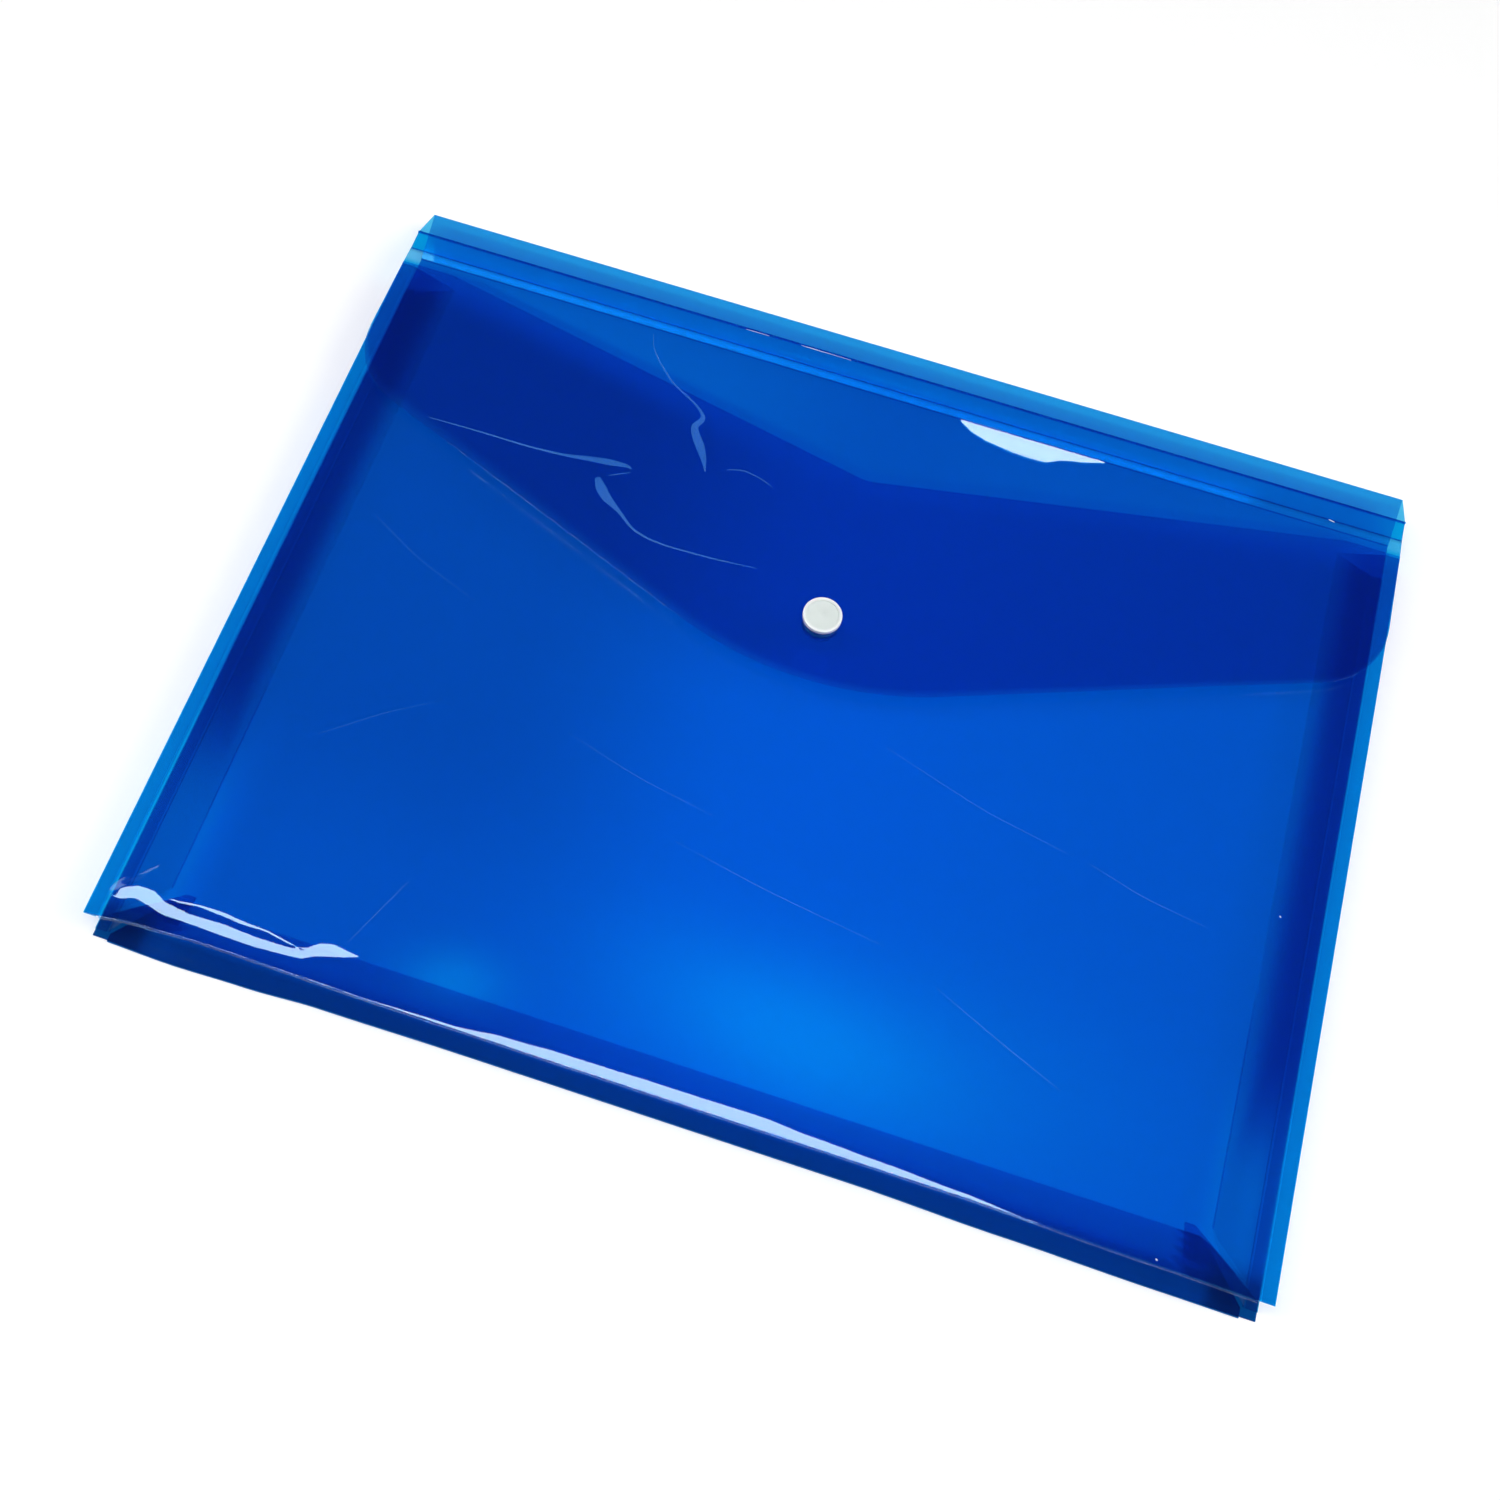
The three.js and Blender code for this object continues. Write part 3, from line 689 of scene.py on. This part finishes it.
def crown():
    xs = spaced(CROWN_LOW[0], CROWN_HIGH[0], 6)
    x, y = grid(xs, level(CROWN_LOW[1]), level(SPINE_UPPER[1]), spaced(0, 1, 0.2))
    middle = np.stack([x, y, np.full_like(x, (CROWN_LOW[2] + CROWN_HIGH[2]) / 2)], 2)
    return dress(sheet_mesh("crown_sheet", middle, FLAP_FILM), "crown", "blue_film", "flap_crown_strip")


# Bellows: two leaves and the rounded folds, in a frame where the first number runs into the fold

def turned_point(origin, angle, along, up):
    return (origin[0] + along * math.cos(angle) - up * math.sin(angle),
            origin[1] + along * math.sin(angle) + up * math.cos(angle))


def arc(origin, start, end, radius=None, steps=14):
    radius = FOLD_RADIUS if radius is None else radius
    angles = np.linspace(start, end, steps + 1)
    return [(origin[0] + radius * math.cos(a), origin[1] + radius * math.sin(a)) for a in angles]


def bellows(title, low, high, turn, base, bodies, names, material, slot, mitred, upper_body,
            shift=None, tints=None):
    """names are the CAD nodes of the two leaves, bodies what they ride on, and base the lower crease's
    distance. shift(x, upper) says how far each outer edge strays. tints holds what is painted on each
    part."""
    tints = tints or {}
    tangent = math.tan(LEAF_TILT)
    tab = WELD_CREASE - TAB_START
    lower, middle, upper = (base, BASE_Z), (base + DEPTH, (BASE_Z + TOP_Z) / 2), (base, TOP_Z)
    along = [LEAF_START] + list(np.linspace(1.5, LEAF, 9))
    rear = [turned_point(lower, LEAF_TILT, s, FOLD_RADIUS) for s in along]
    front = [turned_point(upper, -LEAF_TILT, s, -FOLD_RADIUS) for s in along]
    xs = spaced(low, high, 4, fine=[(side * tab - 1, side * tab + 1, 0.25) for side in (-1, 1)])

    def ends(x, into):
        cut = np.maximum(into - base, 0) / math.cos(LEAF_TILT) + MITRE_GAP
        cut += FOLD_END_GAP * ease((into - base - DEPTH + 0.1) / 0.1)
        lower_end = low + cut * mitred[0]
        upper_end = high - cut * mitred[1]
        return lower_end + (x - low) / (high - low) * (upper_end - lower_end)

    def point(place):
        spot = np.array(Matrix.Rotation(turn, 3, "Z")) @ np.array([(low + high) / 2, *place])
        return tuple(spot)

    def strip(name, places, upper=False, edge=(), leaf=()):
        """edge holds the rows that stray with the outer edge. leaf holds rows that slide in the leaf's
        plane, and their share of the shift."""
        middles = strip_middle(places, xs, ends)
        if shift:
            off, rise = shift(middles[:, :, 0], upper)
            for row in edge:
                middles[row, :, 1] += off[row]
                middles[row, :, 2] += rise[row]
                if not upper:
                    middles[row, :, 2] += (middles[row, :, 2] - SHEET / 2) * BOW_SQUASH * off[row]
            for row, share in leaf:
                middles[row, :, 1] += off[row] * share
                middles[row, :, 2] -= off[row] * share * tangent
        turned = np.array(Matrix.Rotation(turn, 3, "Z"))
        piece = sheet_mesh(name, middles @ turned.T, material)
        for key, value in tints.get(name[len(title) + 1:], {}).items():
            paint(piece, key, value)
        return piece

    down, up = -math.pi / 2, math.pi / 2
    dress(strip(title + "_rear_sheet", rear), bodies[1], slot, names[0])
    sliding = [(row, 1 - s / LEAF) for row, s in enumerate(along[::-1])]
    dress(strip(title + "_front_sheet", front[::-1], upper=True, leaf=sliding), bodies[2], slot, names[1])
    lower_fold = arc(lower, down + 2 * math.pi, up + LEAF_TILT) + [rear[0]]
    middle_fold = arc(middle, down + LEAF_TILT, up - LEAF_TILT)
    upper_fold = [front[0]] + arc(upper, down - LEAF_TILT + 2 * math.pi, up)
    reach = BOW_REACH if shift else 0
    dress(strip(title + "_lower_fold", lower_fold, edge=range(len(lower_fold) - 1)), bodies[0], slot,
          joined=(bodies[1], point((base - reach, lower_fold[0][1])), point((base, lower_fold[-1][1]))))
    dress(strip(title + "_middle_fold", middle_fold), bodies[1], slot,
          joined=(bodies[2], point((base, middle_fold[0][1])), point((base, middle_fold[-1][1]))))
    last = strip(title + "_upper_fold", upper_fold, upper=True, edge=range(1, len(upper_fold)),
                 leaf=[(0, 1)])
    if upper_body:
        dress(last, bodies[2], slot,
              joined=(upper_body, point((base, upper_fold[0][1])), point((base, upper_fold[-1][1]))))
    else:
        dress(last, bodies[2], slot)


# How the tint strays over the bellows, with painted sheen low on the side leaves and painted shade along
# the bottom

def even(value):
    return lambda x, y: np.full_like(x, value)


def side_clear_and_sheen(x, y):
    """The side leaves look clear towards their inner fold, and lighter low down, which is painted sheen."""
    inner = 1 - ease((np.abs(x) - abs(SIDE_MIDDLE[0])) / 9)
    low = 1 - ease((y + eased(x, ((-160, 84), (160, 104)))) / 45)
    return np.maximum(inner, 0.97 * low)


def side_fold_thin(x, y):
    return 0.35 + 0.65 * ease((y + 62) / 20)


def tab_end(x, y):
    """1 over the ends of the bottom leaves, where the side gussets are folded in."""
    return ease((np.abs(x) - WELD_CREASE + TAB_START) / 0.5)


# the second number is painted shade: it darkens the bottom's lower fold and the band beside it, where the
# wallet's edge shades the floor
BOTTOM_CLEAR, BOTTOM_PAINTED_SHADE = 0.8, 0.57


def bottom_rear_thin(x, y):
    return BOTTOM_CLEAR * ease((y + 128.5) / 4) * (1 - tab_end(x, y))


# painted shade along the lower crease, and darker over the ends, where the side gussets are folded in
def bottom_rear_shade_and_overlap(x, y):
    return np.maximum(BOTTOM_PAINTED_SHADE * (1 - ease((y + 130) / 4)), 0.65 * ease((np.abs(x) - 150) / 6))


def bottom_front_thin(x, y):
    return BOTTOM_CLEAR * (1 - tab_end(x, y))


def bottom_front_deep(x, y):
    return 0.5 * tab_end(x, y)


BOTTOM_TINTS = {
    "rear_sheet": {"thin": bottom_rear_thin, "deep": bottom_rear_shade_and_overlap},
    # painted shade along the lower fold
    "lower_fold": {"deep": even(BOTTOM_PAINTED_SHADE)},
    "middle_fold": {"thin": even(0.7)},
    "front_sheet": {"thin": bottom_front_thin, "deep": bottom_front_deep},
    "upper_fold": {"thin": even(BOTTOM_CLEAR)}}
SIDE_TINTS = {
    "rear_sheet": {"thin": side_clear_and_sheen},
    "front_sheet": {"thin": side_clear_and_sheen},
    "middle_fold": {"thin": side_fold_thin},
    "lower_fold": {"thin": even(0.5)},
    "upper_fold": {"thin": even(0.5)}}
SPINE_TINTS = {part: {"thin": even(0.35)}
               for part in ("rear_sheet", "front_sheet", "middle_fold", "lower_fold")}


def flap_fold():
    """The crease that the flap turns on."""
    z = FLAP_CREASE[2] - HALF_GAP - SHEET / 2
    ys = np.linspace(FLAP_CREASE[1] + FLAP_START, FLAP_CREASE[1] - FLAP_START, 9)
    xs = spaced(CROWN_LOW[0], CROWN_HIGH[0], 6)
    piece = sheet_mesh("flap_fold", strip_middle([(y, z) for y in ys], xs)[::-1], FLAP_FILM)
    ends = [(0, y, z) for y in (ys[0], ys[-1])]
    return dress(piece, "crown", "blue_film", joined=("flap", *ends))


# Press stud

def turned_piece(name, profile, centre, material, segments=96):
    """A piece turned round a vertical axis from a profile of (radius, height), from bottom to top."""
    verts, faces = [], []
    profile = np.array(profile, float)
    on_axis = [i for i, (r, _) in enumerate(profile) if r < 1e-6]
    rings = {}
    for i, (r, z) in enumerate(profile):
        if i in on_axis:
            rings[i] = [len(verts)]
            verts.append((centre[0], centre[1], z))
            continue
        rings[i] = list(range(len(verts), len(verts) + segments))
        for k in range(segments):
            a = 2 * math.pi * k / segments
            verts.append((centre[0] + r * math.cos(a), centre[1] + r * math.sin(a), z))
    for i in range(len(profile) - 1):
        lower, upper = rings[i], rings[i + 1]
        for k in range(segments):
            n = (k + 1) % segments
            ring = [lower[k % len(lower)], lower[n % len(lower)]]
            ring += [upper[n % len(upper)], upper[k % len(upper)]]
            face = list(dict.fromkeys(ring))
            if len(face) > 2:
                faces.append(face)
    return new_mesh(name, verts, faces, material, smooth_angle=50)


def stud_cap():
    centre = ((CAP_LOW[0] + CAP_HIGH[0]) / 2, (CAP_LOW[1] + CAP_HIGH[1]) / 2)
    radius = (CAP_HIGH[0] - CAP_LOW[0]) / 2
    top, seat = CAP_HIGH[2], FLAP_HIGH[2] + STUD_FIT
    post, edge, rim, dish = 0.9, 0.3, 1.1, 0.2
    bend = np.linspace(0, math.pi / 2, 7)
    outer = [(radius - edge + edge * math.cos(a), top - edge + edge * math.sin(a)) for a in bend]
    heel = edge / 2
    foot = [(radius - heel + heel * math.sin(a), seat + heel - heel * math.cos(a)) for a in bend]
    inner = [(radius - rim - 0.12 * math.sin(a), top - dish / 2 + dish / 2 * math.cos(2 * a)) for a in bend]
    gate = [(0.75, top - dish), (0.62, top - dish - 0.07), (0.2, top - dish - 0.07), (0, top - dish - 0.02)]
    profile = [(0, CAP_LOW[2]), (post - 0.2, CAP_LOW[2]), (post, CAP_LOW[2] + 0.2), (post, seat)]
    profile += foot + outer + inner + gate
    piece = turned_piece("stud_cap_turned", profile, centre, WHITE_PLASTIC)

    # painted highlight: the cap's rounded rim is painted lighter
    def on_rim(x, y):
        return ease((np.hypot(x - centre[0], y - centre[1]) - radius + rim) / (rim - edge))

    paint(piece, "painted_rim_highlight", on_rim)
    return dress(piece, "flap", "white_plastic", "stud_cap")


# Stage

def shown_white(name, colour, seen, mirrored, far=None):
    """A matt surface with light of its own: seen is what it adds for the camera, and mirrored what it adds
    in reflections. far is what the camera gets well away from the middle, where the lamps hardly reach."""
    material = bpy.data.materials.new(name)
    tree, add, link = nodes_of(material)
    paper = add("ShaderNodeBsdfDiffuse")
    paper.inputs["Color"].default_value = (colour, colour, colour, 1)
    rays = add("ShaderNodeLightPath")
    passing = add("ShaderNodeMath", operation="MAXIMUM")
    link(rays.outputs["Is Glossy Ray"], passing.inputs[0])
    link(rays.outputs["Is Transmission Ray"], passing.inputs[1])
    other = add("ShaderNodeMath", operation="MULTIPLY")
    other.inputs[1].default_value = mirrored
    link(passing.outputs[0], other.inputs[0])
    strength = add("ShaderNodeMath", operation="MULTIPLY_ADD")
    strength.inputs[1].default_value = seen
    if far:
        away = add("ShaderNodeVectorMath", operation="LENGTH")
        link(add("ShaderNodeTexCoord").outputs["Object"], away.inputs[0])
        link(ranged(add, link, away.outputs["Value"], seen, far, *FAR_FLOOR), strength.inputs[1])
    link(rays.outputs["Is Camera Ray"], strength.inputs[0])
    link(other.outputs[0], strength.inputs[2])
    glow = add("ShaderNodeEmission")
    link(strength.outputs[0], glow.inputs["Strength"])
    both = add("ShaderNodeAddShader")
    link(paper.outputs[0], both.inputs[0])
    link(glow.outputs[0], both.inputs[1])
    out = add("ShaderNodeOutputMaterial")
    link(both.outputs[0], out.inputs["Surface"])
    return material


# Metres
STAGE_RADIUS, WALL_RADIUS = 12, 11.9
WALL_HEIGHT, WALL_MIDDLE = 8, 3.9
FLOOR_DROP = 0.0002


def stage():
    bpy.ops.mesh.primitive_circle_add(vertices=96, radius=STAGE_RADIUS, fill_type="NGON",
                                      location=(0, 0, -FLOOR_DROP))
    floor = bpy.context.object
    floor.name = "floor"
    floor.data.materials.append(shown_white("floor", FLOOR_COLOUR, FLOOR_GLOW, FLOOR_GLOW, far=WALL_GLOW))
    bpy.ops.mesh.primitive_cylinder_add(vertices=96, radius=WALL_RADIUS, depth=WALL_HEIGHT,
                                        end_fill_type="NOTHING", location=(0, 0, WALL_MIDDLE))
    wall = bpy.context.object
    wall.name = "backdrop"
    wall.data.materials.append(shown_white("backdrop", WALL_COLOUR, WALL_GLOW, WALL_MIRRORED))


def softbox(name, place, size, power, aim):
    light = bpy.data.lights.new(name, "AREA")
    light.shape = "RECTANGLE"
    light.size, light.size_y = size
    light.energy = power
    lamp = bpy.data.objects.new(name, light)
    lamp.location = place
    lamp.rotation_euler = (Vector(aim) - Vector(place)).to_track_quat("-Z", "Y").to_euler()
    lamp.visible_camera = False
    bpy.context.scene.collection.objects.link(lamp)
    return lamp


# Each lamp's name, place, size, power in watts and the point it faces, in metres
SOFTBOXES = (
    ("front", (-0.25, -0.22, 1.0), (1.1, 0.16), 6.9, (-0.25, -0.22, 0)),
    ("rear", (0.15, 1.557, 1.0), (0.5, 0.12), 2.8, (0.05, 0.10, 0)),
    ("key", (1.15, 0.1, 1.3), (0.7, 0.7), 11, (0, 0, 0)),
    ("left", (-1.6, 0.3, 1.1), (1.0, 0.8), 6.8, (0, 0, 0)),
    ("right", (1.6, -0.2, 1.1), (1.0, 0.8), 5, (0, 0, 0)),
)
ROOM_LIGHT = 0.03


def lights():
    for lamp in SOFTBOXES:
        softbox(*lamp)
    world = bpy.data.worlds.new("room")
    bpy.context.scene.world = world
    world.use_nodes = True
    background = world.node_tree.nodes["Background"]
    background.inputs["Color"].default_value = (1, 1, 1, 1)
    background.inputs["Strength"].default_value = ROOM_LIGHT


def camera():
    data = bpy.data.cameras.new("camera")
    data.sensor_width = SENSOR
    data.lens = FOCAL_PIXELS * SENSOR / IMAGE_SIDE
    data.shift_x = (IMAGE_SIDE / 2 - CENTRE_PIXELS[0]) / IMAGE_SIDE
    data.shift_y = (CENTRE_PIXELS[1] - IMAGE_SIDE / 2) / IMAGE_SIDE
    data.clip_start, data.clip_end = 0.01, 50
    turn, tilt, spin = CAMERA_TURNS
    rotation = Matrix.Rotation(turn, 4, "Z") @ Matrix.Rotation(tilt, 4, "X") @ Matrix.Rotation(spin, 4, "Z")
    made = bpy.data.objects.new("camera", data)
    made.matrix_world = Matrix.Translation(Vector(CAMERA_PLACE) * MM) @ rotation
    bpy.context.scene.collection.objects.link(made)
    bpy.context.scene.camera = made


def cad_materials():
    """The CAD nodes that stay in view take a finished material."""
    dressed = {"weld_flange": WELD_FILM, "corner_tab": GUSSET_FILM, "stud_knob": CLEAR_PLASTIC,
               "stud_socket": CLEAR_PLASTIC, "stud_back_cap": WHITE_PLASTIC}
    for name, node in frame["nodes"].items():
        for ending, material in dressed.items():
            if name.endswith(ending):
                node.data.materials.clear()
                node.data.materials.append(material)


back_panel()
front_panel()
flap_panel()
surface_marks("fold_mark", MARKS, flap_middle, MARK_FILM, "flap")
# the dashes along the flap's crease are painted highlights
surface_marks("flap_speck_and_glint", SPECKS_AND_GLINTS, flap_middle, SPECK_AND_GLINT_FILM, "flap")
surface_marks("front_speck", FRONT_SPECKS, front_middle, SPECK_AND_GLINT_FILM, "front")
surface_marks("scratch", SCRATCHES, front_middle, MARK_FILM, "front")
crown()
flap_fold()
bellows("bottom", -WELD_CREASE, WELD_CREASE, 0, BOTTOM_LOWER[1], ("back", "bottom_rear", "bottom_front"),
        ("bottom_gusset_rear_leaf", "bottom_gusset_front_leaf"), BLUE_FILM, "blue_film",
        (1, 1), "front", shift=bottom_shift, tints=BOTTOM_TINTS)
bellows("spine", -HALF_WIDTH, HALF_WIDTH, 0, SPINE_LOWER[1], ("back", "spine_rear", "spine_front"),
        ("spine_rear_strip", "spine_front_strip"), BLUE_FILM, "blue_film",
        (0, 0), "crown", tints=SPINE_TINTS)
for side_name, side in (("left", -1), ("right", 1)):
    bottom_end, top_end = BOTTOM_LOWER[1], FRONT_HIGH[1] - GUSSET_TOP_INSET
    span = sorted((side * bottom_end, side * top_end))
    mitres = (1, 0) if side > 0 else (0, 1)
    bellows(side_name, span[0], span[1], side * math.pi / 2, -WELD_CREASE,
            ("back", side_name + "_rear", side_name + "_front"),
            (side_name + "_gusset_rear_leaf", side_name + "_gusset_front_leaf"), GUSSET_FILM, "gusset_film",
            mitres, None, tints=SIDE_TINTS)
stud_cap()
cad_materials()
stage()
lights()
camera()

bpy.context.scene.view_settings.view_transform = "Standard"
bpy.context.scene.cycles.transparent_max_bounces = 48
bpy.context.scene.cycles.max_bounces = 12
